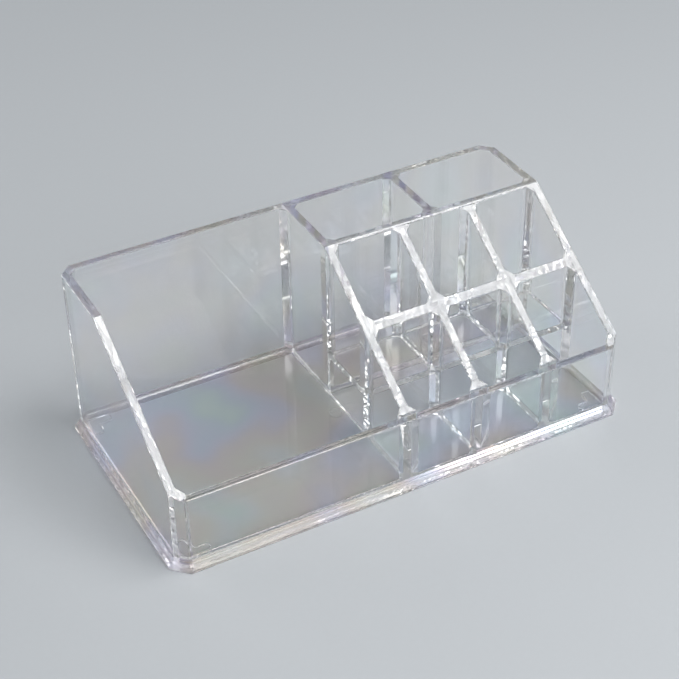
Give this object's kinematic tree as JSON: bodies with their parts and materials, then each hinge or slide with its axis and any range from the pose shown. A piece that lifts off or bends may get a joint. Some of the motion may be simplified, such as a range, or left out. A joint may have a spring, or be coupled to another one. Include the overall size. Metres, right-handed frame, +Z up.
{
  "type": "vanity organizer",
  "caption": "Clear plastic vanity organizer: a wide bin beside stepped rows of cells with sloped dividers, on a flared plinth.",
  "frame": {"origin": "middle of the plinth's footprint, on the surface it stands on", "axes": "+X to the right along the long side, from the bin to the grid; +Y to the tall back wall; +Z up"},
  "size_m": [0.23, 0.123, 0.0855],
  "materials": {
    "clear_wall": "clear styrene plastic, moulded and polished",
    "clear_divider": "clear styrene plastic, moulded and polished",
    "clear_floor": "clear styrene plastic, moulded, with faint stress tints",
    "clear_plinth": "clear styrene plastic, moulded and polished",
    "clear_lug": "clear styrene plastic, moulded"
  },
  "bodies": {
    "root": {"back_wall": "clear_wall", "front_wall": "clear_wall", "left_wall": "clear_wall", "right_wall": "clear_wall", "bin_divider": "clear_divider", "rear_cross_wall": "clear_divider", "rear_divider": "clear_divider", "grid_divider_left": "clear_divider", "grid_divider_right": "clear_divider", "middle_wall_left": "clear_divider", "middle_wall_centre": "clear_divider", "middle_wall_right": "clear_divider", "floor_panel": "clear_floor", "step_floor": "clear_floor", "plinth": "clear_plinth", "corner_lug_front_left": "clear_lug", "corner_lug_front_right": "clear_lug", "corner_lug_rear_right": "clear_lug", "corner_lug_rear_left": "clear_lug"}
  },
  "joints": []
}
